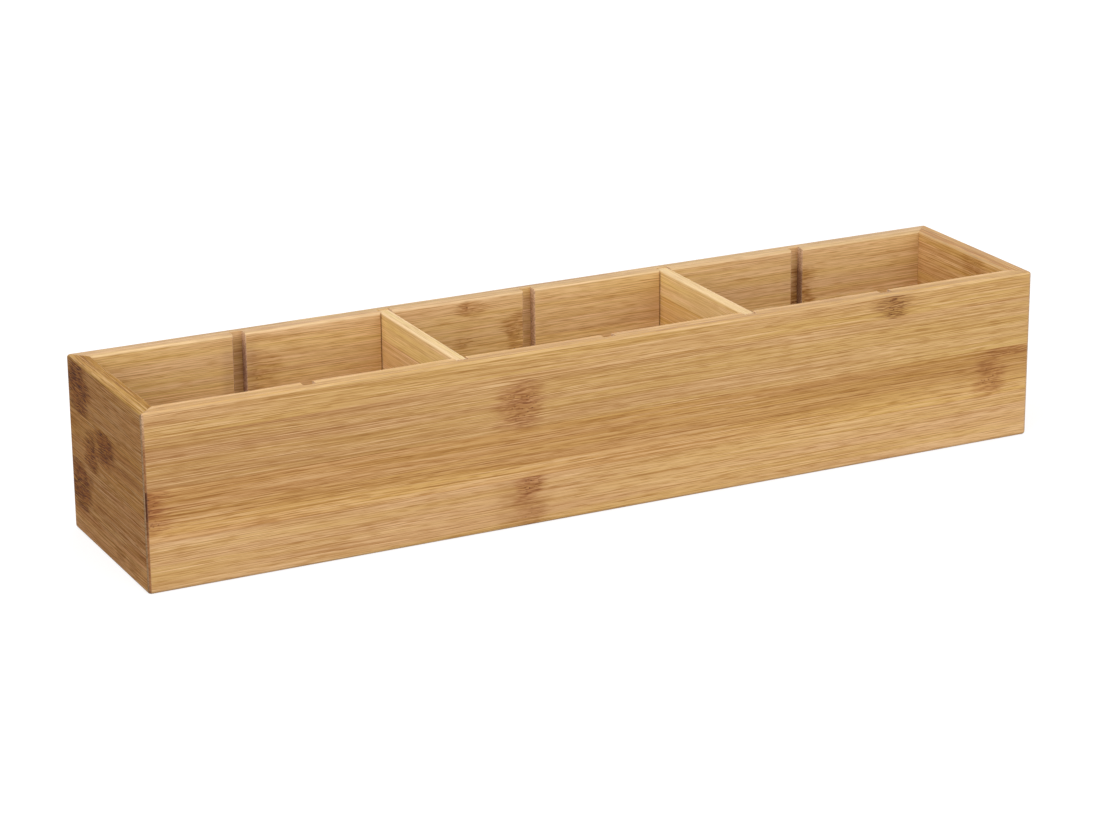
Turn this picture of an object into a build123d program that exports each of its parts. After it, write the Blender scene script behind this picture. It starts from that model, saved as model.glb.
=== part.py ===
from build123d import *
from itertools import accumulate, pairwise
import os

# Cutlery tray of glued bamboo, in millimetres.
# Four boards mitred at the corners make the walls and hold a bottom panel in a groove. Pairs of
# upright slots in the two long walls take dividers that lift out. Every board is glued edge to
# edge from bamboo strips, and each strip is a piece of its own.
# The origin is on the table under the middle of the tray. X runs along it, -Y is the front.

os.makedirs("parts", exist_ok=True)

# Outer form
tray_length = 380.0
tray_width = 80.0
tray_height = 69.0
wall_thickness = 7.5
corner_radius = 1.5
foot_radius = 1.3
rim_radius = 1.0
foot_to_corner_share = 0.9

# Bamboo strips: one strip of each wall board is narrow, and the others share the height
wall_strip_count = 4
narrow_strip = 10.2
panel_strip_count = 4
divider_strip_count = 4
divider_top_strip = 10.5

# Bottom panel and the groove that holds it
panel_lift = 3.0
panel_thickness = 4.0
groove_depth = 4.0
groove_play = 0.2
panel_edge_play = 0.4

# Divider slots
slot_pair_count = 5
slot_width = 5.0
slot_depth = 3.8
slot_ease = 0.4

# Dividers
divider_side_play = 0.2
divider_end_play = 0.3
divider_drop = 0.1
divider_radius = 0.8

# How far a cut runs past the piece
overrun = 1.0

# The space between the walls
inner_length = tray_length - 2 * wall_thickness
inner_width = tray_width - 2 * wall_thickness
floor_height = panel_lift + panel_thickness

# The bays between the slots are equal, and so are those between the end walls and the first slots
clear_bay = (inner_length - slot_pair_count * slot_width) / (slot_pair_count + 1)
slot_pitch = clear_bay + slot_width
slot_places = [slot_pitch * (number - (slot_pair_count - 1) / 2) for number in range(slot_pair_count)]

# Width of the wall boards' full strips
strip_width = (tray_height - narrow_strip) / (wall_strip_count - 1)


def strip_spans(start, widths):
    """Where each strip begins and ends, when strips of these widths lie side by side from start on."""
    return pairwise(accumulate(widths, initial=start))


# The four walls in one piece, before they are parted into boards and strips.
# The foot is rounded less than the upright corners, so that it can run round them.
with BuildPart() as walls:
    with BuildSketch():
        RectangleRounded(tray_length, tray_width, corner_radius)
    extrude(amount=tray_height)
    foot_edges = walls.faces().sort_by(Axis.Z)[0].edges()
    fillet(foot_edges, min(foot_radius, corner_radius * foot_to_corner_share))
    with BuildSketch():
        Rectangle(inner_length, inner_width)
    extrude(amount=tray_height, mode=Mode.SUBTRACT)
    fillet(walls.faces().sort_by(Axis.Z)[-1].edges(), rim_radius)
    with BuildSketch(Plane.XY.offset(panel_lift)):
        Rectangle(inner_length + 2 * groove_depth, inner_width + 2 * groove_depth)
    extrude(amount=panel_thickness + groove_play, mode=Mode.SUBTRACT)

# Plan of one slot pair: a slot in each long wall, joined across the tray, with the arrises at
# both mouths eased at 45 degrees
slot_half = slot_width / 2
slot_end = inner_width / 2 + slot_depth
ease_start = inner_width / 2 + slot_ease
ease_end = inner_width / 2 - overrun
mouth_half = slot_half + slot_ease + overrun
with BuildSketch() as slot_plan:
    with BuildLine():
        Polyline(
            (0, slot_end),
            (slot_half, slot_end),
            (slot_half, ease_start),
            (mouth_half, ease_end),
            (mouth_half, 0),
        )
        mirror(about=Plane.YZ)
        mirror(about=Plane.XZ)
    make_face()

with BuildPart() as slotted_walls:
    add(walls.part)
    with BuildSketch(Plane.XY.offset(-overrun)):
        with Locations(*[(place, 0) for place in slot_places]):
            add(slot_plan.sketch)
    extrude(amount=tray_height + 2 * overrun, mode=Mode.SUBTRACT)

# Plan of each wall board, cut at 45 degrees through the corners of the tray
outer_x = tray_length / 2 + overrun
outer_y = tray_width / 2 + overrun
inner_x = inner_length / 2 - overrun
inner_y = inner_width / 2 - overrun
board_plans = {
    "front_wall": [(-outer_x, -outer_y), (outer_x, -outer_y), (inner_x, -inner_y), (-inner_x, -inner_y)],
    "back_wall": [(outer_x, outer_y), (-outer_x, outer_y), (-inner_x, inner_y), (inner_x, inner_y)],
    "left_wall": [(-outer_x, outer_y), (-outer_x, -outer_y), (-inner_x, -inner_y), (-inner_x, inner_y)],
    "right_wall": [(outer_x, -outer_y), (outer_x, outer_y), (inner_x, inner_y), (inner_x, -inner_y)],
}

# The front board has its narrow strip at the rim, the other three have theirs at the foot
wide_strips = [strip_width] * (wall_strip_count - 1)
board_widths = {name: [narrow_strip] + wide_strips for name in board_plans}
board_widths["front_wall"] = wide_strips + [narrow_strip]

# Strips of the walls, numbered upwards
for board_name, board_plan in board_plans.items():
    for number, (low, high) in enumerate(strip_spans(0, board_widths[board_name]), start=1):
        with BuildPart() as wall_strip:
            add(slotted_walls.part)
            with BuildSketch(Plane.XY.offset(low)):
                Polygon(*board_plan, align=None)
            extrude(amount=high - low, mode=Mode.INTERSECT)
        wall_strip.part.label = f"{board_name}_strip_{number}"
        export_step(wall_strip.part, f"parts/{wall_strip.part.label}.step")

# Strips of the bottom panel, numbered from the front. The panel lies on the lower side of the
# groove and can swell sideways in it.
panel_length = inner_length + 2 * (groove_depth - panel_edge_play)
panel_width = inner_width + 2 * (groove_depth - panel_edge_play)
panel_widths = [panel_width / panel_strip_count] * panel_strip_count
for number, (near, far) in enumerate(strip_spans(-panel_width / 2, panel_widths), start=1):
    with BuildPart() as panel_strip:
        with BuildSketch(Plane(origin=(0, (near + far) / 2, panel_lift))):
            Rectangle(panel_length, far - near)
        extrude(amount=panel_thickness)
    panel_strip.part.label = f"bottom_panel_strip_{number}"
    export_step(panel_strip.part, f"parts/{panel_strip.part.label}.step")

# Dividers: boards that stand on the panel, a little below the rim, with their ends in the second
# slot pair from each side. Their upright and top arrises are rounded.
divider_thickness = slot_width - 2 * divider_side_play
divider_length = inner_width + 2 * (slot_depth - divider_end_play)
divider_height = tray_height - divider_drop - floor_height
divider_middle_strips = [strip_width] * (divider_strip_count - 2)
divider_foot_strip = divider_height - divider_top_strip - sum(divider_middle_strips)
divider_widths = [divider_foot_strip] + divider_middle_strips + [divider_top_strip]
divider_places = {"divider_left": slot_places[1], "divider_right": slot_places[-2]}
for divider_name, place in divider_places.items():
    with BuildPart() as divider:
        with BuildSketch(Plane(origin=(place, 0, floor_height))):
            Rectangle(divider_thickness, divider_length)
        extrude(amount=divider_height)
        top_edges = divider.faces().sort_by(Axis.Z)[-1].edges()
        fillet(divider.edges().filter_by(Axis.Z) + top_edges, divider_radius)

    # Strips of the divider, numbered upwards
    for number, (low, high) in enumerate(strip_spans(floor_height, divider_widths), start=1):
        with BuildPart() as divider_strip:
            add(divider.part)
            with BuildSketch(Plane(origin=(place, 0, low))):
                Rectangle(slot_width, inner_width + 2 * slot_depth)
            extrude(amount=high - low, mode=Mode.INTERSECT)
        divider_strip.part.label = f"{divider_name}_strip_{number}"
        export_step(divider_strip.part, f"parts/{divider_strip.part.label}.step")
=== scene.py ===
# %% [markdown]
# # A bamboo cutlery tray
#
# The real tray is four boards of glued bamboo, mitred at the corners, with a thin bottom panel in a
# groove and two dividers that slide into upright slots. Every board is glued edge to edge from strips of
# bamboo about 20 mm wide, and each strip has its own tone and its own knuckles, as the rings of a bamboo
# cane are called here. In this lesson each strip becomes a piece of its own, so that its grain, tone and
# knuckles belong to it alone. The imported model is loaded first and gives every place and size.

# %% Load the frame
import bpy
import numpy as np
from math import radians
from mathutils import Matrix, Vector


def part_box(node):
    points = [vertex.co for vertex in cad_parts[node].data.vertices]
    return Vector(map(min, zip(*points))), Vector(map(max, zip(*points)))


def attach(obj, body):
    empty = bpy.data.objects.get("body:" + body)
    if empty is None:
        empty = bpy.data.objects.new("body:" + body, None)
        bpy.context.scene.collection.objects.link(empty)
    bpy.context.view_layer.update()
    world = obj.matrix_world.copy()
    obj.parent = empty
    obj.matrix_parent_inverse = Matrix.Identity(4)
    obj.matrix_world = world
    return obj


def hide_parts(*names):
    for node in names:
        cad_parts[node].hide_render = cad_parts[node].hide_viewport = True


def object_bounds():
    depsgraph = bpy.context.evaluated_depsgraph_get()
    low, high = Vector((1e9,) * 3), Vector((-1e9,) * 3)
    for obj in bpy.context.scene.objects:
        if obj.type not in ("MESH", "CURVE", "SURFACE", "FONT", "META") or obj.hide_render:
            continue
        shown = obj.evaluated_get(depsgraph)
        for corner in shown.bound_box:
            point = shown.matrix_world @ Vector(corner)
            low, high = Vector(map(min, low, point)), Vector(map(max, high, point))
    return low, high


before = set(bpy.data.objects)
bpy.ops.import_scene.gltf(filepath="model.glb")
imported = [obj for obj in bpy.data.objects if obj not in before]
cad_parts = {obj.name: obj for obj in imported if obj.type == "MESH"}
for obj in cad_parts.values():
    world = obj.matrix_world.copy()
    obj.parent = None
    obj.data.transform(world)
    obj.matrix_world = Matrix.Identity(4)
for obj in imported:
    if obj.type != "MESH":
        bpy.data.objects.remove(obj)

cad_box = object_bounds()
print("the tray measures", [round(1000 * (high - low), 1) for low, high in zip(*cad_box)], "mm")

# %% [markdown]
# ## Sizes
#
# Blender works in metres here and a bamboo worker in millimetres, so shapes are worked out in millimetres
# and scaled once, when a mesh is made. The frame gives the sizes of every strip. It doesn't give the
# roundings, the slots or the groove, because they are inside the strips, so these are named here.

# %% Sizes
millimetre = 0.001
half_length, half_width, height = (float(value) / millimetre for value in cad_box[1])
front_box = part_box("front_wall_strip_2")
wall_thickness = float(front_box[1].y - front_box[0].y) / millimetre
corner_radius = 1.5
foot_radius = 1.3
rim_radius = 1.0
groove_low, groove_high, groove_depth = 3.0, 7.2, 4.0
slot_width, slot_depth, slot_ease = 5.0, 3.8, 0.4
slot_pairs = 5
inner_length = 2 * (half_length - wall_thickness)
slot_pitch = (inner_length - slot_pairs * slot_width) / (slot_pairs + 1) + slot_width
slot_places = slot_pitch * (np.arange(slot_pairs) - (slot_pairs - 1) / 2)
strips_in_board = 4
print("walls", round(wall_thickness, 2), "mm thick, a slot pair every", round(slot_pitch, 2), "mm")


# %% [markdown]
# ## A board as rows of stations
#
# Seen from above, a wall board is a long trapezoid: its outer face is longer than its inner face, because
# both ends are cut at 45 degrees. The outer corners are rounded and the inner face has notches, the slots.
# A bevel modifier would round all of this alike. Instead the outline is given as stations along the board.
# Each station has a point on the outer face and its partner on the inner face, so the top of the board can
# be closed with neat four-sided faces, and each point knows in which direction it moves where the rim is
# rounded. Places along the board are called u, and depths inward from its outer face w.

# %% Stations of a straight run
def straight_run(outer_ends, inner_ends, depth, step=3.0):
    """Stations evenly spaced between two ends, the ends left out.

    A station is one row of ten numbers, five pairs of u and w: the outer point, the direction in which it
    moves inward, the inner point, the direction in which that moves at the rim, and the groove's point.
    """
    count = max(2, round(abs(inner_ends[1] - inner_ends[0]) / step))
    share = np.linspace(0, 1, count + 1)[1:-1]
    outer_u = outer_ends[0] + share * (outer_ends[1] - outer_ends[0])
    inner_u = inner_ends[0] + share * (inner_ends[1] - inner_ends[0])
    zero, one = 0 * share, 0 * share + 1
    groove_w = one * (depth - groove_depth)
    columns = [outer_u, zero, zero, one, inner_u, depth * one, zero, -one, inner_u, groove_w]
    return np.stack(columns, axis=1)


print("a 30 mm run has", len(straight_run((0, 30), (0, 30), wall_thickness)), "stations between its ends")


# %% Stations of a mitred end
corner_points, corner_spacing = 6, 0.3


def mitred_end(half, depth):
    """Stations round the left end of a wall board.

    Outer points follow the corner's arc from 45 degrees to the straight face: u = -half + r - r sin(a),
    w = r - r cos(a). The first inner point is the inner corner, which moves along the mitre, and the next
    ones follow closely on the inner face.
    """
    angle = np.radians(np.linspace(45, 0, corner_points))
    zero, one = 0 * angle, 0 * angle + 1
    mitre = np.eye(corner_points)[0]
    inner_u = -half + depth + corner_spacing * np.arange(corner_points)
    columns = [
        -half + corner_radius - corner_radius * np.sin(angle),
        corner_radius - corner_radius * np.cos(angle),
        np.sin(angle),
        np.cos(angle),
        inner_u,
        depth * one,
        -mitre,
        -one,
        inner_u - groove_depth * mitre,
        (depth - groove_depth) * one,
    ]
    return np.stack(columns, axis=1)


def turned_round(stations):
    """The same stations at the other end of the board: every u changes sign, and the order is reversed."""
    return stations[::-1] * np.tile([-1.0, 1.0], 5)


print("a mitred end has", len(mitred_end(half_length, wall_thickness)), "stations")


# %% Stations of a slot
mouth_points, mouth_spacing = 4, 0.12
rounding_in_slot = 0.3


def slot_mouth(place, depth):
    """Stations of one slot: a small arc round each arris, the two sides and the floor.

    The arc is u = c - h - e + e sin(a), w = T - e + e cos(a), for a slot at c with half width h and an
    arris eased by e. The outer and groove points stay close together behind each side of the slot, so
    that no line between partners crosses the next one. Into the slot the rim's rounding shrinks.
    """
    half = slot_width / 2
    angle = np.radians(np.linspace(0, 90, mouth_points))
    arc_u = -half - slot_ease + slot_ease * np.sin(angle)
    arc_w = depth - slot_ease + slot_ease * np.cos(angle)
    inner_u = np.concatenate([arc_u, [-half, half], -arc_u[::-1]]) + place
    inner_w = np.concatenate([arc_w, [depth - slot_depth] * 2, arc_w[::-1]])
    rounding = 1 - (1 - rounding_in_slot) * np.sin(angle) ** 2
    rim = np.concatenate([rounding, [rounding_in_slot] * 2, rounding[::-1]])
    left = place - half - slot_ease + mouth_spacing * np.arange(mouth_points + 1)
    spread = np.concatenate([left, 2 * place - left[::-1]])
    zero, one = 0 * spread, 0 * spread + 1
    groove_w = one * (depth - groove_depth)
    columns = [spread, zero, zero, one, inner_u, inner_w, zero, -rim, spread, groove_w]
    return np.stack(columns, axis=1)


def wall_stations(half, slots):
    """All stations of a wall board from its left end to its right end, for slots at the given places."""
    left = mitred_end(half, wall_thickness)
    right = turned_round(left)
    parts = [left] + [slot_mouth(place, wall_thickness) for place in slots] + [right]
    joined = [parts[0]]
    for before, after in zip(parts[:-1], parts[1:]):
        outer_ends, inner_ends = (before[-1, 0], after[0, 0]), (before[-1, 4], after[0, 4])
        joined += [straight_run(outer_ends, inner_ends, wall_thickness), after]
    return np.concatenate(joined)


long_wall = wall_stations(half_length, slot_places)
short_wall = wall_stations(half_width, [])
print("stations along the long walls:", len(long_wall), "and along the end walls:", len(short_wall))

# %% [markdown]
# ## Levels
#
# The outline is carried upwards through levels. A level is a height with three amounts: how far the rim
# is rounded in, how far the foot is rounded in, and whether the inner points stand in the groove. At the
# groove the inner points jump in and out at one height, so outer and inner heights are given apart and no
# face shrinks to nothing. Outside, the four levels of the groove are spread out to keep the faces even.

# %% Levels of a wall's strips
quarter = np.radians(np.linspace(0, 90, 7))
groove_spread, groove_middle_spread, above_groove = 0.4, 0.7, 1.2
inner_rise = 0.8 * groove_low


def plain_levels(low, high, step=2.5):
    """Levels of a straight piece, the same height outside and inside."""
    heights = np.linspace(low, high, max(2, round((high - low) / step) + 1))
    return np.stack([heights, heights, 0 * heights, 0 * heights, 0 * heights], axis=1)


def foot_levels(high):
    """The foot's arc, z = r - r sin(a) and inward r - r cos(a), then the groove, then straight up."""
    angle = quarter[::-1]
    arc_z = foot_radius - foot_radius * np.sin(angle)
    arc_in = foot_radius - foot_radius * np.cos(angle)
    inner_z = np.linspace(0, inner_rise, len(angle))
    arc = np.stack([arc_z, inner_z, 0 * angle, arc_in, 0 * angle], axis=1)
    middle = (groove_low + groove_high) / 2
    groove = np.array([
        [groove_low - groove_spread, groove_low, 0, 0, 0],
        [middle - groove_middle_spread, groove_low, 0, 0, 1],
        [middle + groove_middle_spread, groove_high, 0, 0, 1],
        [groove_high + groove_spread, groove_high, 0, 0, 0],
    ])
    return np.concatenate([arc, groove, plain_levels(groove_high + above_groove, high)])


def rim_levels(low, high, radius):
    """Straight up, then the rim's arc: z = H - r + r sin(a) and inward r - r cos(a)."""
    arc_z = high - radius + radius * np.sin(quarter)
    arc = np.stack([arc_z, arc_z, radius - radius * np.cos(quarter), 0 * quarter, 0 * quarter], axis=1)
    return np.concatenate([plain_levels(low, high - radius)[:-1], arc])


print("levels of the rounded rim:", len(rim_levels(height - 2 * rim_radius, height, rim_radius)))


# %% [markdown]
# ## From stations and levels to a mesh
#
# Stations and levels together are a grid. One formula gives every point, the faces come from the grid's
# numbering, and both ends are closed with faces between partner points. Numpy works on the whole grid at
# once. A hand-held router never cuts quite evenly, so the rim's rounding also swells and thins a little
# along the board, by a few slow waves.

# %% Grid points and faces
def carried_up(stations, levels, waves):
    """Points on a grid: station points moved inward by the level's amounts.

    outer = point + (rim * waves + foot) * direction, inner = point + rim * waves * direction +
    groove * (groove point - point), and z is the level's height.
    """
    outer, outer_way, inner, inner_way, groove = np.split(stations, 5, axis=1)
    outer_z, inner_z, rim, foot, in_groove = levels.T[:, :, None, None]
    outer_plan = outer + (rim * waves[:, None] + foot) * outer_way
    inner_plan = inner + rim * waves[:, None] * inner_way + in_groove * (groove - inner)
    outer_row = np.concatenate([outer_plan, outer_z + 0 * outer_plan[..., :1]], axis=2)
    inner_row = np.concatenate([inner_plan, inner_z + 0 * inner_plan[..., :1]], axis=2)
    return np.concatenate([outer_row, inner_row[:, ::-1]], axis=1)


def closed_faces(level_count, around):
    """Four-sided faces round the sides of a grid, and across its lowest and highest level."""
    place = np.arange(around)
    start = around * np.arange(level_count - 1)[:, None]
    corner, following = start + place, start + (place + 1) % around
    sides = np.stack([corner, following, following + around, corner + around], axis=2).reshape(-1, 4)
    near = np.arange(around // 2 - 1)
    far = around - 1 - near
    floor_faces = np.stack([near, far, far - 1, near + 1], axis=1)
    top_faces = np.stack([near, near + 1, far - 1, far], axis=1) + around * (level_count - 1)
    return np.concatenate([sides, floor_faces, top_faces])


print("a grid of 4 levels and 10 places has", len(closed_faces(4, 10)), "faces")


# %% One bamboo piece
wave_count, shortest_wave, longest_wave = 3, 20, 90
arris_angle = 35


def bamboo_piece(name, stations, levels, quarter_turns, distance, unevenness=0.0):
    """A board or strip as a Blender object, turned to its side of the tray.

    In the board's own plan, x is u and y is w - distance. Turning it by quarter turns about the middle of
    the tray brings it to the front, right, back or left. The rim's rounding is multiplied by 1 +
    unevenness * the sum of three waves, each of them strength * sin(2 pi u / pitch + phase).
    """
    rng = np.random.default_rng(sum(name.encode()))
    strength = rng.uniform(0.3, 1, (wave_count, 1))
    phase = rng.uniform(0, 6.3, (wave_count, 1))
    pitch = rng.uniform(shortest_wave, longest_wave, (wave_count, 1))
    along = stations[:, 0]
    waves = 1 + unevenness * (strength * np.sin(2 * np.pi * along / pitch + phase)).sum(0)
    points = carried_up(stations, levels, waves)
    points[..., 1] -= distance
    turn = np.array(Matrix.Rotation(radians(90 * quarter_turns), 3, "Z"))
    points = points @ turn.T * millimetre
    mesh = bpy.data.meshes.new(name)
    faces = closed_faces(len(levels), points.shape[1])
    mesh.from_pydata(points.reshape(-1, 3), [], faces.tolist())
    mesh.shade_smooth()
    mesh.set_sharp_from_angle(angle=radians(arris_angle))
    piece = bpy.data.objects.new(name, mesh)
    bpy.context.scene.collection.objects.link(piece)
    shading = piece.modifiers.new("even_shading", "WEIGHTED_NORMAL")
    shading.keep_sharp = True
    shading.weight = 100
    return piece


# %% [markdown]
# ## The walls
#
# The front board has its narrow strip at the rim and the other three have theirs at the foot. The heights
# of the strips are read from the frame. The lowest strip has the foot's rounding and the groove, the
# highest one the rim's rounding, and those between are plain. The boards are held a hair apart at the
# mitres, as a glued joint shows a fine line.

# %% The sixteen wall strips
joint_gap = 0.03
rim_unevenness = 0.08
sides = {
    "front_wall": (0, half_length, half_width, long_wall),
    "right_wall": (1, half_width, half_length, short_wall),
    "back_wall": (2, half_length, half_width, long_wall),
    "left_wall": (3, half_width, half_length, short_wall),
}
pieces = {}
for board, (quarter_turns, half, distance, stations) in sides.items():
    fitted = stations.copy()
    fitted[:, [0, 4, 8]] *= 1 - joint_gap / half
    for number in range(1, strips_in_board + 1):
        node = f"{board}_strip_{number}"
        low, high = (float(corner.z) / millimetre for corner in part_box(node))
        if number == 1:
            levels = foot_levels(high)
        elif number == strips_in_board:
            levels = rim_levels(low, high, rim_radius)
        else:
            levels = plain_levels(low, high)
        name = f"{board}_bamboo_{number}"
        pieces[node] = bamboo_piece(name, fitted, levels, quarter_turns, distance, rim_unevenness)
print(len(pieces), "wall strips")

# %% [markdown]
# ## The bottom panel
#
# The panel is thin and hardly seen, but the tray is also looked at from above. Its four strips are plain
# bars whose edges stand in the groove. Their stations are two rows of points, one on each long edge.

# %% The four panel strips
panel_stations = 90
for number in range(1, strips_in_board + 1):
    node = f"bottom_panel_strip_{number}"
    low, high = (np.array(corner, float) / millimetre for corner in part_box(node))
    along = np.linspace(low[0], high[0], panel_stations)
    zero, one = 0 * along, 0 * along + 1
    width = high[1] - low[1]
    bar = np.stack([along, zero, zero, one, along, width * one, zero, -one, along, width * one], axis=1)
    name = f"bottom_panel_bamboo_{number}"
    pieces[node] = bamboo_piece(name, bar, plain_levels(low[2], high[2]), 0, -low[1])
print(len(pieces), "strips with the panel's")

# %% [markdown]
# ## The dividers
#
# A divider is sawn thinner than the walls and its upright and top edges are rounded by sanding, so its
# end is a rounded box. The outline is a long rectangle with round corners, and the same level amounts that
# round the rim draw it in at the top, by a little less than the corners' radius, so that the corners of
# the top outline don't shrink to a point.

# %% The eight divider strips
divider_radius = 0.8
top_radius = 0.97 * divider_radius
end_points, run_points = 6, 25


def divider_stations(half, thickness):
    """Stations of a divider: each end's arc is u = -half + r - r sin(a), w = r - r cos(a), and its mirror
    image on the other face, with straight runs between."""
    angle = np.radians(np.linspace(90, 0, end_points))
    end_u = -half + divider_radius - divider_radius * np.sin(angle)
    end_w = divider_radius - divider_radius * np.cos(angle)
    run = np.linspace(end_u[-1], -end_u[-1], run_points)[1:-1]
    u = np.concatenate([end_u, run, -end_u[::-1]])
    w = np.concatenate([end_w, 0 * run, end_w[::-1]])
    way_u = np.concatenate([np.sin(angle), 0 * run, -np.sin(angle[::-1])])
    way_w = np.concatenate([np.cos(angle), 0 * run + 1, np.cos(angle[::-1])])
    return np.stack([u, w, way_u, way_w, u, thickness - w, way_u, -way_w, u, thickness - w], axis=1)


for board in ("divider_left", "divider_right"):
    for number in range(1, strips_in_board + 1):
        node = f"{board}_strip_{number}"
        low, high = (np.array(corner, float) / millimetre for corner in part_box(node))
        if number == 1:
            thickness, half = high[0] - low[0], (high[1] - low[1]) / 2
            stations = divider_stations(half, thickness)
            distance = high[0]
        if number == strips_in_board:
            levels = rim_levels(low[2], high[2], top_radius)
        else:
            levels = plain_levels(low[2], high[2])
        pieces[node] = bamboo_piece(f"{board}_bamboo_{number}", stations, levels, 1, distance)
print(len(pieces), "strips in all")


# %% [markdown]
# ## Colours and shader nodes
#
# Colours are written as the hex values a painter or web page uses and turned to the linear numbers that
# the shader works with. One helper adds a shader node together with its settings and links, and takes its
# sockets by name or number. A Map Range has its value in socket 0, the range that this comes from in 1 and
# 2, and the range that it goes to in 3 and 4. A Mix has its factor in 0 and its two colours in 6 and 7, and
# gives the mixed colour from its output 2.

# %% Colour and node helpers
def linear(hex_colour):
    """sRGB hex to linear: c / 12.92 when c is small, otherwise ((c + 0.055) / 1.055) to the power 2.4."""
    channels = np.array([int(hex_colour[place:place + 2], 16) / 255 for place in (1, 3, 5)])
    curved = np.where(channels < 0.04045, channels / 12.92, ((channels + 0.055) / 1.055) ** 2.4)
    return (*curved.tolist(), 1.0)


def add(tree, kind, sockets=None, **settings):
    """Adds one node with its settings. A socket takes a number, a colour, or another node to link."""
    node = tree.nodes.new(kind)
    for key, value in settings.items():
        setattr(node, key, value)
    for key, value in (sockets or {}).items():
        source = value.outputs[0] if isinstance(value, bpy.types.Node) else value
        if isinstance(source, bpy.types.NodeSocket):
            tree.links.new(source, node.inputs[key])
        else:
            node.inputs[key].default_value = source
    return node


print("tan bamboo in linear numbers:", [round(value, 3) for value in linear("#C89B66")[:3]])

# %% [markdown]
# ## Bamboo, planed, glued and lacquered
#
# Bamboo is a grass. Its cane wall is pale pith with dark bundles of fibres running along it, so a sawn and
# planed face shows fine straight streaks, a third of a millimetre wide and some centimetres long, and never
# the arches of a tree's grain. Across each knuckle the fibres wander, darken and leave small pores. A thin
# satin lacquer keeps it matt to softly shining.
#
# The pattern is drawn in the strip's own millimetres: A along the grain, C across the strip and D into it.
# A strip starts from one colour at its first end and one at its last. Nearly everything after that is a
# stain which multiplies the colour, as real fibres, glue and burnt knuckles darken the same pale ground.

# %% Bamboo colours
pinkish_cast, yellowish_cast = "#FEFCFF", "#FEFFE9"
shade_stain, band_stain = "#E2D6C2", "#ECE1C7"
line_stain, dash_stain = "#D2BA8A", "#D5BF91"
reddish_knuckle, golden_knuckle, dark_knuckle = "#EDDCD2", "#E7DBC4", "#E2C794"
torn_stain, dark_torn, golden_torn = "#CBAF90", "#846727", "#A2783E"
# The fourth colour on the next line darkens the slots below the rim: a painted shade.
blotch_stain, pore_stain, burnt_stain, slot_shade_paint = "#C9A87E", "#8A5C3A", "#8A6848", "#D8CFD6"
# The third colour on the next line darkens the rounded corner at a board's first end: a painted shade.
glue_stain, ply_stain, corner_shade_paint = "#DCC29C", "#E6D3B4", "#A67C3C"
# The arris colour on the next line is partly sanding wear and partly a painted highlight on the upper
# arrises.
pale_fibre, arris_wear_and_highlight = "#F2CEA0", "#F4DDB4"
sawn_pale, sawn_dark = "#D8B48F", "#B08B67"

# %% [markdown]
# Every part of the pattern has a length along the grain and a width across it, in millimetres as on a real
# board. Noise runs from 0 to 1 and stays near 0.5, so each part also says at which value of the noise it
# begins and at which it is full. A streak is a band of several fibres, a single fibre, or a short dash
# where a fibre dips under the planed face. The vessels that open as pores are only about 0.2 mm wide,
# which is too fine to show, so the pores are drawn coarser.

# %% Sizes of the pattern
cast_size, cast_range = (120, 4.5), (0.38, 0.62)
pale_size, pale_range, pale_strength = (45, 0.38), (0.5, 0.68), 0.6
streak_kinds = [
    ((220, 2.4), (0.42, 0.68), 0.25, band_stain),
    ((70, 0.34), (0.5, 0.62), 0.64, line_stain),
    ((9, 0.3), (0.5, 0.66), 0.7, dash_stain),
]
torn_size, torn_range = (5, 0.42), (0.46, 0.6)
blotch_size, blotch_range = (2.8, 0.9), (0.52, 0.64)
pore_spacing, pore_edge, pore_middle = (2.0, 1.5, 1.5), 0.24, 0.14
bundle_size, bundle_range = (0.6, 0.6), (0.4, 0.62)
fringe_size, patch_size, fringe_reach = (14, 0.6), (12, 5), 11.0
slow_bend_size, slow_bend = (80, 18), 0.8
wave_size, wave_bend = (7, 5), 0.9
seam_edge, seam_middle, seam_strength = 0.22, 0.08, 0.5
print("the finest streak is", min(size[1] for size, *others in streak_kinds), "mm wide")


# %% Places on a strip, and stretched noise
grain_axes = {"x": ("X", "Z", "Y"), "y": ("Y", "Z", "X"), "flat": ("X", "Y", "Z")}


def strip_places(tree, grain, offset):
    """The coordinates node, the millimetres A, C and D, and the same three moved by the strip's offset."""
    coordinates = add(tree, "ShaderNodeTexCoord")
    in_mm = add(tree, "ShaderNodeVectorMath", {0: coordinates.outputs["Object"], 3: 1 / millimetre},
                operation="SCALE")
    axes = add(tree, "ShaderNodeSeparateXYZ", {0: in_mm})
    fixed = [axes.outputs[axis] for axis in grain_axes[grain]]
    moved = [add(tree, "ShaderNodeMath", {0: source, 1: float(shift)}, operation="ADD")
             for source, shift in zip(fixed, offset)]
    return coordinates, fixed, moved


def stretched_noise(tree, place, size):
    """Noise of (A / length, C / width, D / width), which makes streaks about that long and wide in mm."""
    length, width = size
    scaled = add(tree, "ShaderNodeVectorMath", {0: place, 1: (1 / length, 1 / width, 1 / width)},
                 operation="MULTIPLY")
    return add(tree, "ShaderNodeTexNoise", {"Vector": scaled, "Scale": 1.0, "Detail": 1.0})


print("the grain of a board runs along", " or ".join(sorted({axes[0] for axes in grain_axes.values()})))


# %% Spots on a strip
def ragged_point(tree, fixed, place):
    """The point (A + r, C), where the shift r of a few mm differs from fibre to fibre and frays a spot."""
    fringe = stretched_noise(tree, place, fringe_size)
    patch = stretched_noise(tree, place, patch_size)
    ragged = add(tree, "ShaderNodeMath", {0: fringe, 1: patch}, operation="ADD")
    shift = add(tree, "ShaderNodeMath", {0: ragged, 1: fringe_reach, 2: -fringe_reach},
                operation="MULTIPLY_ADD")
    run = add(tree, "ShaderNodeMath", {0: fixed[0], 1: shift}, operation="ADD")
    return add(tree, "ShaderNodeCombineXYZ", {0: run, 1: fixed[1]})


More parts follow.
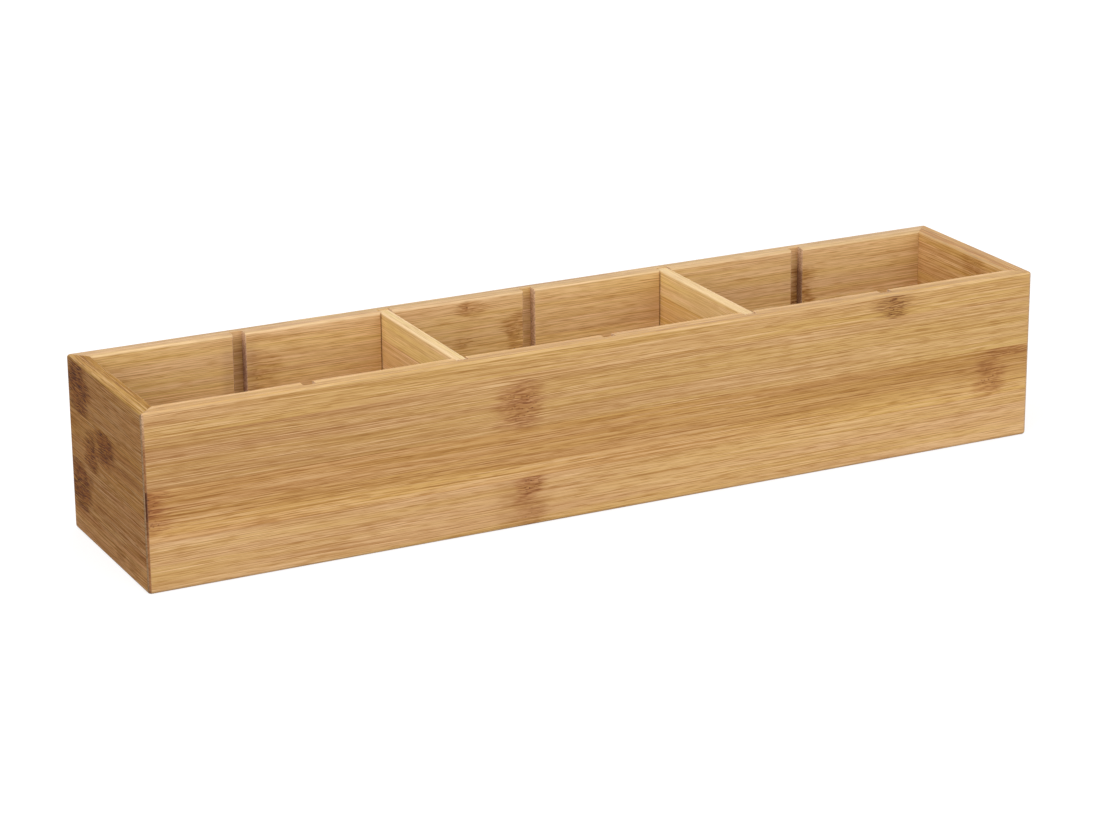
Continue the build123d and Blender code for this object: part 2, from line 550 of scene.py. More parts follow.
def nearness(tree, point, spots, far, near):
    """How near a point is to any of several spots: 0 outside them, up to a spot's strength inside.

    The distance from a spot at a and c that reaches s along the grain and h across it is the length of
    ((A - a) / s, (C - c) / h). Nearness grows as that falls from far to near.
    """
    total = 0.0
    for along, level, reach, rise, strength in spots:
        relative = add(tree, "ShaderNodeVectorMath", {0: point, 1: (1 / reach, 1 / rise, 0),
                                                      2: (-along / reach, -level / rise, 0)},
                       operation="MULTIPLY_ADD")
        away = add(tree, "ShaderNodeVectorMath", {0: relative}, operation="LENGTH")
        share = add(tree, "ShaderNodeMapRange", {0: away.outputs["Value"], 1: far, 2: near, 3: 0.0,
                                                 4: strength}, interpolation_type="SMOOTHSTEP")
        total = add(tree, "ShaderNodeMath", {0: total, 1: share}, operation="MAXIMUM")
    return total


print("the edge of a spot frays by up to", fringe_reach, "mm")


# %% Knuckles and the fibres that bend in them
sanding_begins, sanding_full, left_on_rim = 0.9, 0.2, 0.35


def knuckle_reach(tree, fixed, point, behind, look):
    """How far a place lies in a knuckle's soft cloud, and in its core.

    Most of a knuckle is sanded away on the rim, and of some boards' knuckles little shows in the ply behind.
    """
    faint = add(tree, "ShaderNodeMapRange", {0: behind, 1: 0.0, 2: 1.0, 3: 1.0, 4: look["knuckles_behind"]})
    kept = add(tree, "ShaderNodeMapRange", {0: fixed[1], 1: height - sanding_begins,
                                            2: height - sanding_full, 3: 1.0, 4: left_on_rim})
    kept = add(tree, "ShaderNodeMath", {0: kept, 1: faint}, operation="MULTIPLY")
    cloud = nearness(tree, point, look["knuckles"], far=1.15, near=0.5)
    cloud = add(tree, "ShaderNodeMath", {0: cloud, 1: kept}, operation="MULTIPLY")
    core = nearness(tree, point, look["knuckles"], far=0.8, near=0.1)
    core = add(tree, "ShaderNodeMath", {0: core, 1: kept}, operation="MULTIPLY")
    return cloud, core


def bent_fibres(tree, moved, place, cloud):
    """The place at which streaks are read: C moved by slow bends all along the strip, and in a knuckle
    also by short waves, which neighbouring fibres follow together. A bend of b is noise * 2b - b."""
    slow = stretched_noise(tree, place, slow_bend_size)
    slow = add(tree, "ShaderNodeMath", {0: slow, 1: 2 * slow_bend, 2: -slow_bend}, operation="MULTIPLY_ADD")
    waves = stretched_noise(tree, place, wave_size)
    waves = add(tree, "ShaderNodeMath", {0: waves, 1: 2 * wave_bend, 2: -wave_bend}, operation="MULTIPLY_ADD")
    waves = add(tree, "ShaderNodeMath", {0: waves, 1: cloud}, operation="MULTIPLY")
    bend = add(tree, "ShaderNodeMath", {0: slow, 1: waves}, operation="ADD")
    bent = add(tree, "ShaderNodeMath", {0: moved[1], 1: bend}, operation="ADD")
    return add(tree, "ShaderNodeCombineXYZ", {0: moved[0], 1: bent, 2: moved[2]})


print("fibres bend by up to", slow_bend, "mm, and in a knuckle by", wave_bend, "mm more")

# %% [markdown]
# ### The ground
#
# The walls are pressed from two plies of bamboo, face to face, and each ply has a tone of its own. Both show
# side by side on the rim, where sanding also brings out a warmer colour than on the lacquered faces. Some
# canes are pinker and some yellower, in areas as long as a hand, and single fibres stay pale.

# %% Ground colour
joint_softness, ply_tone_share = 0.3, 0.75
rim_tone_begins, rim_tone_full = 0.9, 0.3


def ply_behind(tree, fixed, look):
    """0 in the ply with the lower D and 1 in the other, changing softly at the depth where they meet."""
    depth = look["ply"][0]
    return add(tree, "ShaderNodeMapRange", {0: fixed[2], 1: depth - joint_softness,
                                            2: depth + joint_softness, 3: 0.0, 4: 1.0})


def ground_colour(tree, fixed, behind, look):
    """The strip's tone from end to end, mixed with the other ply's tone and, at the top, with the rim's."""
    first, last = look["reach"]
    share = add(tree, "ShaderNodeMapRange", {0: fixed[0], 1: first, 2: last, 3: 0.0, 4: 1.0})
    ground = add(tree, "ShaderNodeMix", {0: share, 6: linear(look["first"]), 7: linear(look["last"])},
                 data_type="RGBA")
    if look["behind"]:
        mostly = add(tree, "ShaderNodeMath", {0: behind, 1: ply_tone_share}, operation="MULTIPLY")
        ground = add(tree, "ShaderNodeMix", {0: mostly, 6: ground.outputs[2], 7: linear(look["behind"])},
                     data_type="RGBA")
    if look["rim"]:
        low_ply, high_ply = (linear(tone) for tone in look["rim"])
        rim = add(tree, "ShaderNodeMix", {0: behind, 6: low_ply, 7: high_ply}, data_type="RGBA")
        on_rim = add(tree, "ShaderNodeMapRange", {0: fixed[1], 1: height - rim_tone_begins,
                                                  2: height - rim_tone_full, 3: 0.0, 4: 1.0})
        ground = add(tree, "ShaderNodeMix", {0: on_rim, 6: ground.outputs[2], 7: rim.outputs[2]},
                     data_type="RGBA")
    return ground


def with_casts_and_pale_fibres(tree, ground, grain_place, pale):
    """The ground multiplied by a pinkish or yellowish cast, with pale fibres laid over it."""
    cast = stretched_noise(tree, grain_place, cast_size)
    cast = add(tree, "ShaderNodeMapRange", {0: cast, 1: cast_range[0], 2: cast_range[1], 3: 0.0, 4: 1.0})
    cast = add(tree, "ShaderNodeMix", {0: cast, 6: linear(pinkish_cast), 7: linear(yellowish_cast)},
               data_type="RGBA")
    ground = add(tree, "ShaderNodeMix", {0: 1.0, 6: ground.outputs[2], 7: cast.outputs[2]},
                 data_type="RGBA", blend_type="MULTIPLY")
    share = add(tree, "ShaderNodeMapRange", {0: pale, 1: pale_range[0], 2: pale_range[1], 3: 0.0,
                                             4: pale_strength})
    return add(tree, "ShaderNodeMix", {0: share, 6: ground.outputs[2], 7: linear(pale_fibre)},
               data_type="RGBA")


print("the rim's tone begins", rim_tone_begins, "mm below the top and is full from", rim_tone_full, "mm on")

# %% [markdown]
# ### Stains
#
# Each stain is a colour with a factor, and several of them are laid on one after another: shaded areas, a
# darker ply, streaks and glue lines on plain wood, then what a knuckle adds to it.

# %% Stains
def streak_stains(tree, fixed, grain_place, behind, shade, look):
    """Factors and stains of a plain strip: a shaded area, a ply, streaks of three widths and glue lines."""
    low_ply, high_ply = look["ply"][1:]
    ply = add(tree, "ShaderNodeMapRange", {0: behind, 1: 0.0, 2: 1.0, 3: low_ply, 4: high_ply})
    stains = [(shade, shade_stain), (ply, ply_stain)]
    for size, (begins, full), strength, stain in streak_kinds:
        streak = stretched_noise(tree, grain_place, size)
        streak = add(tree, "ShaderNodeMapRange", {0: streak, 1: begins, 2: full, 3: 0.0,
                                                  4: strength * look["streaks"]})
        stains.append((streak, stain))
    for joint in look["joints"]:
        away = add(tree, "ShaderNodeMath", {0: fixed[1], 1: -joint}, operation="ADD")
        away = add(tree, "ShaderNodeMath", {0: away}, operation="ABSOLUTE")
        seam = add(tree, "ShaderNodeMapRange", {0: away, 1: seam_edge, 2: seam_middle, 3: 0.0,
                                                4: seam_strength})
        stains.append((seam, glue_stain))
    return stains


def knuckle_stains(tree, grain_place, place, cloud, core, look):
    """Factors and stains of the knuckles: a soft cloud, torn fibres, and blotches and pores in the core."""
    torn = stretched_noise(tree, grain_place, torn_size)
    torn = add(tree, "ShaderNodeMapRange", {0: torn, 1: torn_range[0], 2: torn_range[1], 3: 0.0, 4: 1.0})
    torn = add(tree, "ShaderNodeMath", {0: torn, 1: cloud}, operation="MULTIPLY")
    blotch = stretched_noise(tree, place, blotch_size)
    blotch = add(tree, "ShaderNodeMapRange", {0: blotch, 1: blotch_range[0], 2: blotch_range[1], 3: 0.0,
                                              4: look["blotch"]})
    blotch = add(tree, "ShaderNodeMath", {0: blotch, 1: core}, operation="MULTIPLY")
    pore_place = add(tree, "ShaderNodeVectorMath", {0: place, 1: tuple(1 / gap for gap in pore_spacing)},
                     operation="MULTIPLY")
    pore = add(tree, "ShaderNodeTexVoronoi", {"Vector": pore_place, "Scale": 1.0})
    pore = add(tree, "ShaderNodeMapRange", {0: pore, 1: pore_edge, 2: pore_middle, 3: 0.0, 4: 1.0})
    pore = add(tree, "ShaderNodeMath", {0: pore, 1: core}, operation="MULTIPLY")
    return [(cloud, look["knuckle"]), (torn, look["torn"]), (blotch, blotch_stain), (pore, pore_stain)]


def stained(tree, colour, stains):
    """A colour under several stains, each of which multiplies it as far as its factor says."""
    for factor, stain in stains:
        colour = add(tree, "ShaderNodeMix", {0: factor, 6: colour.outputs[2], 7: linear(stain)},
                     data_type="RGBA", blend_type="MULTIPLY")
    return colour


print("glue lines show", 2 * seam_edge, "mm wide and pores at most", 2 * pore_edge * max(pore_spacing), "mm")

# %% [markdown]
# ### What the tools leave, with painted shade and a painted highlight
#
# Sanding goes through the lacquer's first coat on the upper arrises and leaves them paler, and the same pale
# colour also stands for the light that catches their rounding, a painted highlight. A saw, and the router
# that cuts the slots, show the fibre bundles cut across: sawn ends, slot sides and rounded corners are greyer
# than planed faces, and dark where the blade has burnt a knuckle. A slot is painted darker below the rim, a
# painted shade in its recess, and the rounded corner at a board's first end is painted darker, a painted
# shade.

# %% Arrises and sawn wood
arris_begins, arris_full = 1.0, 0.4
arris_low, arris_high = 1.1, 0.5
sawn_begins, sawn_full = 0.12, 0.45


def pale_and_highlighted_arrises(tree, colour, fixed, look):
    """The colour, made paler along the two upper arrises, which lie half the thickness from the middle."""
    middle, half = look["middle"], look["half"]
    aside = add(tree, "ShaderNodeMath", {0: fixed[2], 1: -middle}, operation="ADD")
    aside = add(tree, "ShaderNodeMath", {0: aside}, operation="ABSOLUTE")
    aside = add(tree, "ShaderNodeMapRange", {0: aside, 1: half - arris_begins, 2: half - arris_full,
                                             3: 0.0, 4: look["arris"]})
    high = add(tree, "ShaderNodeMapRange", {0: fixed[1], 1: height - arris_low, 2: height - arris_high,
                                            3: 0.0, 4: 1.0})
    arris = add(tree, "ShaderNodeMath", {0: aside, 1: high}, operation="MULTIPLY")
    # Painted highlight, with sanding wear: the upper arrises are paled with the arris colour.
    return add(tree, "ShaderNodeMix", {0: arris, 6: colour.outputs[2], 7: linear(arris_wear_and_highlight)},
               data_type="RGBA")


def with_sawn_wood(tree, colour, facing, place, cloud, look):
    """The colour with sawn wood where the face turns along the grain, and how far it is sawn there.

    That grows with the size of the normal's part along the grain, which is 0 on a planed face and 1 on a
    sawn end.
    """
    endways = add(tree, "ShaderNodeMath", {0: facing}, operation="ABSOLUTE")
    sawn = add(tree, "ShaderNodeMapRange", {0: endways, 1: sawn_begins, 2: sawn_full, 3: 0.0, 4: 1.0})
    bundles = stretched_noise(tree, place, bundle_size)
    bundles = add(tree, "ShaderNodeMapRange", {0: bundles, 1: bundle_range[0], 2: bundle_range[1], 3: 0.0,
                                               4: 1.0})
    sawn_colour = add(tree, "ShaderNodeMix", {0: bundles, 6: linear(sawn_pale), 7: linear(sawn_dark)},
                      data_type="RGBA")
    colour = add(tree, "ShaderNodeMix", {0: sawn, 6: colour.outputs[2], 7: sawn_colour.outputs[2]},
                 data_type="RGBA")
    burnt = add(tree, "ShaderNodeMath", {0: sawn, 1: cloud}, operation="MULTIPLY")
    burnt = add(tree, "ShaderNodeMath", {0: burnt, 1: look["burnt"]}, operation="MULTIPLY")
    return stained(tree, colour, [(burnt, burnt_stain)]), sawn


sawn_angle = np.degrees(np.arcsin(sawn_begins))
print("wood looks sawn where a face turns by more than", round(float(sawn_angle), 1), "degrees")


# %% Painted shade in slots and on a corner
slot_shade_softness, slot_shade_begins, slot_shade_full = 0.2, 1, 7
corner_shade_turns, corner_shade_turned = -0.1, -0.38
corner_shade_reach, corner_shade_whole = 4, 3
corner_shade_begins, corner_shade_full, corner_shade_at_top = 3, 14, 0.2


def painted_slot_shade(tree, fixed, look):
    """How far a slot is painted darker, a painted shade in its recess: near a spot, within the slot's depth,
    and growing downwards from the rim."""
    upright = add(tree, "ShaderNodeCombineXYZ", {0: fixed[0], 1: fixed[1]})
    slot_shade = nearness(tree, upright, look["slot_shades"], far=1.2, near=0.6)
    slot_middle = half_width - wall_thickness + slot_depth / 2
    within = add(tree, "ShaderNodeMath", {0: fixed[2], 1: -slot_middle}, operation="ADD")
    within = add(tree, "ShaderNodeMath", {0: within}, operation="ABSOLUTE")
    within = add(tree, "ShaderNodeMapRange", {0: within, 1: slot_depth / 2 + slot_shade_softness,
                                              2: slot_depth / 2 - slot_shade_softness, 3: 0.0, 4: 1.0})
    below = add(tree, "ShaderNodeMapRange", {0: fixed[1], 1: height - slot_shade_begins,
                                             2: height - slot_shade_full, 3: 0.0, 4: 1.0})
    slot_shade = add(tree, "ShaderNodeMath", {0: slot_shade, 1: within}, operation="MULTIPLY")
    return add(tree, "ShaderNodeMath", {0: slot_shade, 1: below}, operation="MULTIPLY")


def painted_corner_shade(tree, facing, fixed, look):
    """How far painted shade darkens the rounded corner at a board's first end: where the face turns towards
    that end, within a few millimetres of it, and growing downwards."""
    first = look["reach"][0]
    turned = add(tree, "ShaderNodeMapRange", {0: facing, 1: corner_shade_turns, 2: corner_shade_turned, 3: 0.0,
                                              4: look["corner"]})
    at_end = add(tree, "ShaderNodeMapRange", {0: fixed[0], 1: first + corner_shade_reach,
                                              2: first + corner_shade_whole, 3: 0.0, 4: 1.0})
    turned = add(tree, "ShaderNodeMath", {0: turned, 1: at_end}, operation="MULTIPLY")
    lower = add(tree, "ShaderNodeMapRange", {0: fixed[1], 1: height - corner_shade_begins, 2: height - corner_shade_full,
                                             3: corner_shade_at_top, 4: 1.0})
    return add(tree, "ShaderNodeMath", {0: turned, 1: lower}, operation="MULTIPLY")


# The corner's painted shade is darkest from this depth below the rim.
print("glue darkens a corner most from", corner_shade_full, "mm below the rim")

# %% [markdown]
# ### The finished material
#
# A look holds everything that differs between strips. The material works from the ground outwards, mostly as
# the wood was worked: fibres and knuckles, then sanding with a painted highlight on the arrises, sawing,
# painted shade in the slots and on a corner, and the lacquer last. Satin lacquer over an open grain is a
# little rougher on some fibres, which stand out by a few hundredths of a millimetre, and sawn wood drinks it
# and stays dull.

# %% The bamboo material
satin_range, satin_smooth, satin_rough, sawn_rough = (0.3, 0.7), 0.42, 0.58, 0.95
fibre_relief = 0.08


def planed_bamboo(name, seed, look):
    """A strip's lacquered bamboo, drawn from its look, with its own part of the noise chosen by the seed."""
    material = bpy.data.materials.new(name)
    material.use_nodes = True
    tree = material.node_tree
    tree.nodes.clear()
    offset = np.random.default_rng(seed).uniform(-400, 400, 3)
    coordinates, fixed, moved = strip_places(tree, look["grain"], offset)
    place = add(tree, "ShaderNodeCombineXYZ", dict(enumerate(moved)))
    point = ragged_point(tree, fixed, place)
    shade = nearness(tree, point, look["shades"], far=1.2, near=0.6)
    behind = ply_behind(tree, fixed, look)
    cloud, core = knuckle_reach(tree, fixed, point, behind, look)
    grain_place = bent_fibres(tree, moved, place, cloud)
    pale = stretched_noise(tree, grain_place, pale_size)

    colour = ground_colour(tree, fixed, behind, look)
    colour = with_casts_and_pale_fibres(tree, colour, grain_place, pale)
    colour = stained(tree, colour, streak_stains(tree, fixed, grain_place, behind, shade, look))
    colour = stained(tree, colour, knuckle_stains(tree, grain_place, place, cloud, core, look))
    # Painted highlight, with sanding wear, along the upper arrises
    colour = pale_and_highlighted_arrises(tree, colour, fixed, look)
    normal = add(tree, "ShaderNodeSeparateXYZ", {0: coordinates.outputs["Normal"]})
    facing = normal.outputs[grain_axes[look["grain"]][0]]
    colour, sawn = with_sawn_wood(tree, colour, facing, place, cloud, look)
    # Painted shade in the slots, darker below the rim
    if look["slot_shades"]:
        colour = stained(tree, colour, [(painted_slot_shade(tree, fixed, look), slot_shade_paint)])
    # Painted shade on the rounded corner at a board's first end, lighter near the rim
    if look["corner"]:
        colour = stained(tree, colour, [(painted_corner_shade(tree, facing, fixed, look), corner_shade_paint)])

    roughness = add(tree, "ShaderNodeMapRange", {0: pale, 1: satin_range[0], 2: satin_range[1],
                                                 3: satin_smooth, 4: satin_rough})
    dull = add(tree, "ShaderNodeMath", {0: sawn, 1: sawn_rough}, operation="MULTIPLY")
    roughness = add(tree, "ShaderNodeMath", {0: roughness, 1: dull}, operation="MAXIMUM")
    bump = add(tree, "ShaderNodeBump", {"Height": pale, "Strength": 0.3,
                                        "Distance": fibre_relief * millimetre})
    shader = add(tree, "ShaderNodeBsdfPrincipled", {"Base Color": colour.outputs[2],
                                                    "Roughness": roughness, "Normal": bump, "IOR": 1.5,
                                                    "Specular IOR Level": look["shine"]})
    add(tree, "ShaderNodeOutputMaterial", {0: shader})
    return material


print("the lacquer's roughness goes from", satin_smooth, "to", satin_rough)

# %% [markdown]
# ## Every strip its own piece of bamboo
#
# A strip is named by its board and number. It has a colour at its first end, which is the left one of a long
# board and the front one of a short board, and a colour at its last end, and its knuckles. A knuckle is given
# by its place along the grain, its height or its place across the panel, how far it reaches along and across,
# and its strength, in millimetres from the middle of the tray. A strip whose faces can't be seen in any
# picture gets one knuckle or none.

# %% Looks of the strips
strip_looks = {
    "front_wall": [
        ("#D5AC7A", "#E3BB88", [(-36.5, 16, 6.5, 8, 0.8), (-36.5, 5, 7, 9, 0.4)]),
        ("#DAAE76", "#E0B778", [(171, 28, 9, 11, 0.65), (178, 37, 12, 3, 0.6), (-190, 34, 10, 8, 1.0),
                                (-187, 26, 9, 5, 0.5)]),
        ("#C29663", "#D9B27A", [(-40, 49, 11, 13, 0.75), (-39.5, 50, 5.5, 9, 0.9)]),
        ("#D0A771", "#D8B073", [(125, 63.5, 10, 7.5, 0.82)]),
    ],
    "back_wall": [
        ("#D9B67F", "#D9B67F", [(40, 5, 8, 12, 0.7)]),
        ("#D4B07A", "#D9B67F", [(150, 20, 8, 12, 0.7)]),
        ("#E6C28D", "#E6C28D", [(127, 45, 4.5, 8, 0.8), (-113, 45, 7, 8, 0.4), (-6, 46, 5, 4, 0.6)]),
        ("#E0BD88", "#DEBA89", [(-114, 52, 8, 10, 0.45), (-27, 65, 8, 4.5, 0.7), (-7, 54, 5.5, 9, 0.7),
                                (-29, 51, 5, 4, 0.45), (127, 54, 4.5, 8, 0.8)]),
    ],
    "left_wall": [
        ("#ECB276", "#ECB276", []),
        ("#D49859", "#D49859", [(30, 20, 12.5, 13, 0.95)]),
        ("#D89C55", "#D89C55", [(15, 36, 9, 11, 0.85), (2, 44, 11, 10, 0.95)]),
        ("#D89E5C", "#CF9553", [(28, 60, 12, 14, 0.95)]),
    ],
    "right_wall": [
        ("#D6AE77", "#D6AE77", []),
        ("#CFA56C", "#CFA56C", [(22, 20, 8, 12, 0.6)]),
        ("#CEA46E", "#CEA46E", []),
        ("#D2A972", "#D2A972", [(-9, 65, 9, 7, 0.4)]),
    ],
    "bottom_panel": [
        ("#D4A970", "#D4A970", [(-90, -28, 8, 12, 0.7)]),
        ("#CDA269", "#D4A970", [(110, -10, 8, 12, 0.8)]),
        ("#D4A970", "#C99C64", [(10, 10, 8, 12, 0.7)]),
        ("#D0A56C", "#D0A56C", [(-150, 28, 8, 12, 0.6)]),
    ],
    "divider_left": [("#D5AC77", "#D5AC77", [])] * 3 + [("#DFBE85", "#DFBE85", [])],
    "divider_right": [("#D6AC6A", "#D6AC6A", [])] * 3 + [("#E1C083", "#E1C083", [])],
}
print(sum(len(knuckles) for looks in strip_looks.values() for first, last, knuckles in looks), "knuckles")

# %% [markdown]
# A few strips have more of their own: areas a little darker than the rest, given as the knuckles are,
# knuckles of another colour, or stronger streaks.

# %% What single strips have besides
strip_extras = {
    "front_wall_strip_1": {"shades": [(-39, 10, 12, 14, 0.5)], "knuckle": reddish_knuckle},
    "front_wall_strip_2": {"shades": [(0, 32.5, 400, 8.5, 0.65), (130, 35, 90, 5.5, 0.85)],
                           "knuckle": reddish_knuckle, "streaks": 1.15, "burnt": 1.0},
    "front_wall_strip_3": {"knuckle": reddish_knuckle},
    "front_wall_strip_4": {"torn": golden_torn, "blotch": 0.5, "burnt": 0.1},
    "left_wall_strip_1": {"shades": [(-10, 6, 6, 2.5, 0.9), (-23, 6, 5, 3, 0.8)]},
    "left_wall_strip_3": {"shades": [(-15, 42, 25, 7, 0.5)]},
}
print(len(strip_extras), "strips have more of their own")

# %% [markdown]
# A board adds what its strips share. The grain says which way A runs. A ply is the depth where the two plies
# meet and how strongly each is stained. The rim has a sanded tone for each ply, and behind is the tone of the
# ply with the higher D, with the share of the knuckles that reaches it. Corner says how much painted shade
# darkens the rounded corner at a board's first end, and arris how pale the upper arrises are, which is
# sanding wear and a painted highlight. Blotch and burnt say how much shows of a knuckle's blotches and a
# saw's burns, and a painted shade in a slot is a spot like a knuckle. Shine is the lacquer's reflection: the
# left wall's lacquer is the thinnest and shines least. The plain look is what every strip starts from.

# %% Looks of the boards
plain_look = {
    "ply": (0.0, 0.0, 0.0),
    "rim": None,
    "behind": None,
    "knuckles_behind": 1.0,
    "corner": 0.0,
    "arris": 0.3,
    "shine": 0.4,
    "streaks": 1.0,
    "shades": [],
    "knuckle": golden_knuckle,
    "torn": torn_stain,
    "blotch": 0.8,
    "burnt": 0.75,
    "slot_shades": [],
    "slot": "bamboo_wall",
    "body": "tray",
}
board_looks = {
    "front_wall": {
        "grain": "x",
        "ply": (4.6 - half_width, 0.25, 0.0),
        "rim": ("#C69949", "#D7AA68"),
        "behind": "#DEB884",
        "knuckles_behind": 0.35,
        # Painted shade on the rounded corner at the front board's left end.
        "corner": 0.85,
        "arris": 0.2,
    },
    "back_wall": {
        "grain": "x",
        "ply": (half_width - 3.2, 0.0, 0.0),
        "rim": ("#CCA571", "#C19B65"),
        "behind": "#E6AE6C",
        # Painted shade in the back wall's two outer slots, strongest in the left one.
        "slot_shades": [(-123.4, 40, 8, 150, 1.0), (123.4, 40, 8, 150, 0.3)],
    },
    "left_wall": {
        "grain": "y",
        "ply": (4.6 - half_length, 0.0, 0.0),
        "rim": ("#D4A556", "#BE8A2E"),
        "behind": "#D5B07A",
        "knuckles_behind": 0.35,
        # Painted shade on the rounded corner at the left board's front end.
        "corner": 0.2,
        "arris": 0.05,
        "shine": 0.06,
        "streaks": 1.5,
        "knuckle": dark_knuckle,
        "torn": dark_torn,
        "blotch": 0.4,
    },
    "right_wall": {
        "grain": "y",
        "ply": (half_length - 4.0, 0.2, 0.0),
        "rim": ("#B78020", "#C1924A"),
        "behind": "#DDA96A",
        "shine": 0.25,
    },
    "bottom_panel": {"grain": "flat", "slot": "bamboo_panel"},
    "divider_left": {"grain": "y", "slot": "bamboo_divider", "body": "divider_left", "streaks": 0.7},
    "divider_right": {"grain": "y", "slot": "bamboo_divider", "body": "divider_right", "streaks": 0.7},
}
print(len(board_looks), "boards")


# %% Materials and bodies
def strip_look(board, number, first_colour, last_colour, knuckles):
    """All that the material needs: the plain look, the board's and the strip's, and sizes from the frame."""
    node = f"{board}_strip_{number}"
    shared = plain_look | board_looks[board]
    axis_a, axis_c, axis_d = ("XYZ".index(letter) for letter in grain_axes[shared["grain"]])
    low, high = (np.array(corner, float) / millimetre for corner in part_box(node))
    joints = ([low[axis_c]] if number > 1 else []) + ([high[axis_c]] if number < strips_in_board else [])
    return shared | {
        "first": first_colour,
        "last": last_colour,
        "knuckles": knuckles,
        "reach": (float(low[axis_a]), float(high[axis_a])),
        "joints": [float(joint) for joint in joints],
        "middle": float(low[axis_d] + high[axis_d]) / 2,
        "half": float(high[axis_d] - low[axis_d]) / 2,
    } | strip_extras.get(node, {})


seed = 0
for board, looks in strip_looks.items():
    for number, (first_colour, last_colour, knuckles) in enumerate(looks, start=1):
        node = f"{board}_strip_{number}"
        look = strip_look(board, number, first_colour, last_colour, knuckles)
        seed += 1
        piece = pieces[node]
        piece.data.materials.append(planed_bamboo(f"lacquered_bamboo_{board}_{number}", seed, look))
        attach(piece, look["body"])
        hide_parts(node)
print(seed, "bamboo materials")

# %% [markdown]
# ## Floor and background
#
# The tray stands on a plain pale table in a white room. Light that bounces off the table reaches the
# walls from below, so its true colour is a light grey. The camera sees a little glow added to it, which
# grows with the distance from the tray, so the table runs out to white while the tray keeps its soft
# shadow. A shiny surface mirrors only part of that glow.

# %% What a glow is seen by
def seen_directly(tree, mirrored):
    """1 for rays from the camera or through glass, and a smaller share for rays that a shiny face mirrors."""
    rays = add(tree, "ShaderNodeLightPath")
    seen = add(tree, "ShaderNodeMath", {0: rays.outputs["Is Glossy Ray"], 1: mirrored,
                                        2: rays.outputs["Is Camera Ray"]}, operation="MULTIPLY_ADD")
    return add(tree, "ShaderNodeMath", {0: seen, 1: rays.outputs["Is Transmission Ray"]}, operation="MAXIMUM")


# %% Table
table_reach = 4.0
table_grey = 0.36
glow_starts, glow_full = 0.8, 1.6
glow_near, glow_far = 0.72, 1.0
floor_mesh = bpy.data.meshes.new("table_top")
corners = [(x * table_reach, y * table_reach, 0) for x, y in ((-1, -1), (1, -1), (1, 1), (-1, 1))]
floor_mesh.from_pydata(corners, [], [(0, 1, 2, 3)])
floor = bpy.data.objects.new("table_top", floor_mesh)
bpy.context.scene.collection.objects.link(floor)
table = bpy.data.materials.new("white_laminate_table")
table.use_nodes = True
tree = table.node_tree
tree.nodes.clear()
seen = seen_directly(tree, mirrored=0.3)
place = add(tree, "ShaderNodeTexCoord")
away = add(tree, "ShaderNodeVectorMath", {0: place.outputs["Object"]}, operation="LENGTH")
run_out = add(tree, "ShaderNodeMapRange", {0: away.outputs["Value"], 1: glow_starts, 2: glow_full,
                                           3: glow_near, 4: glow_far})
glow_strength = add(tree, "ShaderNodeMath", {0: seen, 1: run_out}, operation="MULTIPLY")
matt = add(tree, "ShaderNodeBsdfDiffuse", {"Color": (table_grey, table_grey, table_grey, 1)})
glow = add(tree, "ShaderNodeEmission", {"Strength": glow_strength})
both = add(tree, "ShaderNodeAddShader", {0: matt, 1: glow})
add(tree, "ShaderNodeOutputMaterial", {0: both})
floor_mesh.materials.append(table)
print("the table reaches", table_reach, "m each way")

# %% White room
room_light = 0.48
world = bpy.data.worlds.new("white_room")
world.use_nodes = True
tree = world.node_tree
tree.nodes.clear()
seen = seen_directly(tree, mirrored=0.6)
room_strength = add(tree, "ShaderNodeMapRange", {0: seen, 1: 0.0, 2: 1.0, 3: room_light, 4: 1.0})
room = add(tree, "ShaderNodeBackground", {"Color": (1, 1, 1, 1), "Strength": room_strength})
add(tree, "ShaderNodeOutputWorld", {0: room})
bpy.context.scene.world = world
bpy.context.scene.view_settings.view_transform = "Standard"
print("the room gives", room_light, "of the light that it is seen with")

# %% [markdown]
# ## Light
#
# The tray stands in a tent of large soft panels: one overhead, one to the left, one to the front right
# and a weak one behind, so that the inside of the tray is as bright as its front. A small black card, a
# flag, would stand beside the left end in a studio to keep the left panel's light off it, which gives the
# tray its dark end. Here the left panel simply skips the left wall.

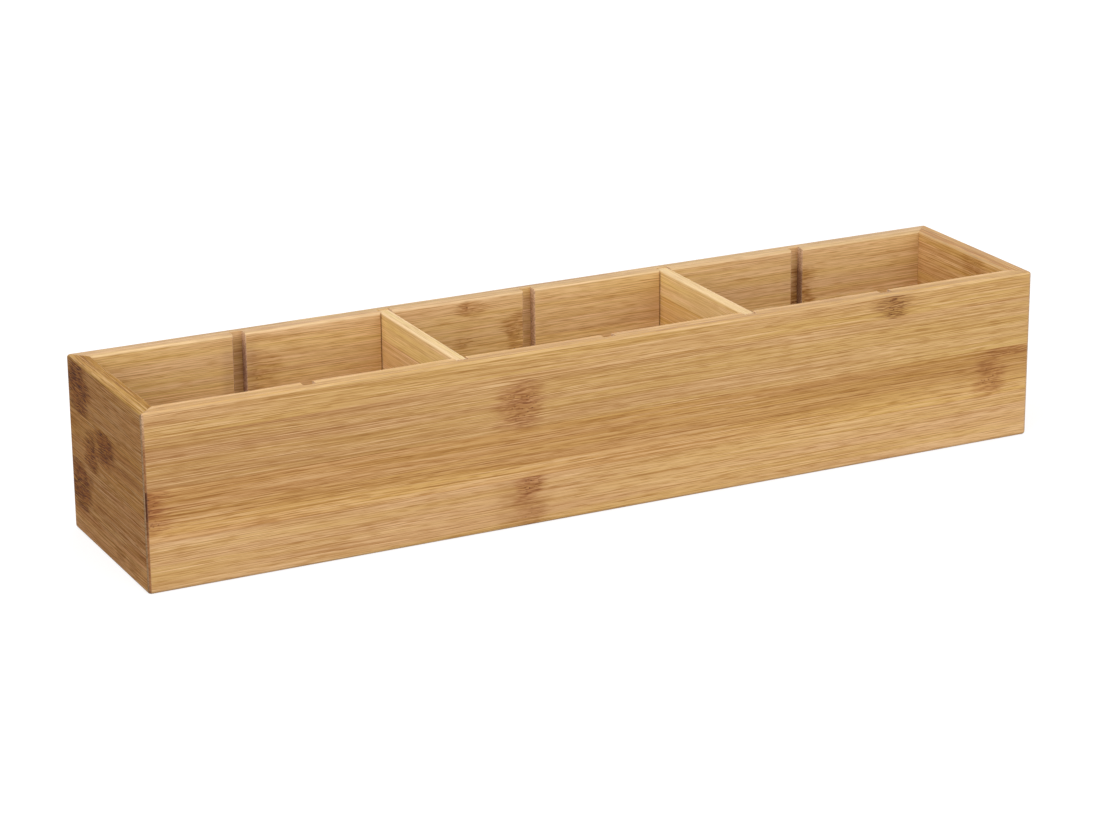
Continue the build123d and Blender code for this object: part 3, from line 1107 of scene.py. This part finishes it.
# %% Soft panels
tray_middle = Vector((0, 0, 0.03))
soft_panels = {
    "overhead_panel": ((0.0, 0.1, 1.4), 2.0, 7.2),
    "left_panel": ((-1.3, -0.5, 0.75), 1.4, 15.8),
    "front_right_panel": ((0.5, -1.4, 0.6), 1.4, 13.0),
    "back_right_panel": ((0.8, 1.2, 0.6), 1.4, 4.2),
}
for name, (place, size, power) in soft_panels.items():
    lamp = bpy.data.lights.new(name, "AREA")
    lamp.shape, lamp.size, lamp.energy = "SQUARE", size, power
    holder = bpy.data.objects.new(name, lamp)
    holder.location = place
    holder.rotation_euler = (tray_middle - Vector(place)).to_track_quat("-Z", "Y").to_euler()
    bpy.context.scene.collection.objects.link(holder)

flagged = bpy.data.collections.new("flagged_from_left_panel")
for number in range(1, strips_in_board + 1):
    flagged.objects.link(pieces[f"left_wall_strip_{number}"])
for member in flagged.collection_objects:
    member.light_linking.link_state = "EXCLUDE"
bpy.data.objects["left_panel"].light_linking.receiver_collection = flagged
print(len(soft_panels), "soft panels")

# %% [markdown]
# ## Camera
#
# The camera stands in front, turned to the left of the tray and looking down at it. Its place was worked
# out from the corners of the tray: three angles, the distance, two offsets that slide it sideways and up
# without turning it, and the focal length for a picture 1100 pixels wide.

# %% Camera
azimuth, elevation, roll = (radians(angle) for angle in (-26.623, 18.724, -0.4405))
distance, sideways, upward = 1.3440, -0.006757, 0.026304
focal_pixels, picture_width, sensor = 3404.0, 1100, 36.0
back = Vector((
    np.sin(azimuth) * np.cos(elevation),
    -np.cos(azimuth) * np.cos(elevation),
    np.sin(elevation),
))
level_right = Vector((np.cos(azimuth), np.sin(azimuth), 0))
level_up = back.cross(level_right)
right = level_right * np.cos(roll) + level_up * np.sin(roll)
up = level_up * np.cos(roll) - level_right * np.sin(roll)
view = bpy.data.cameras.new("camera")
view.sensor_width = sensor
view.lens = focal_pixels / picture_width * sensor
camera = bpy.data.objects.new("camera", view)
stand = right * sideways + up * upward + back * distance
camera.matrix_world = Matrix.Translation(stand) @ Matrix((right, up, back)).transposed().to_4x4()
bpy.context.scene.collection.objects.link(camera)
bpy.context.scene.camera = camera
print("camera at", [round(value, 3) for value in stand], "with a", round(view.lens, 1), "mm lens")
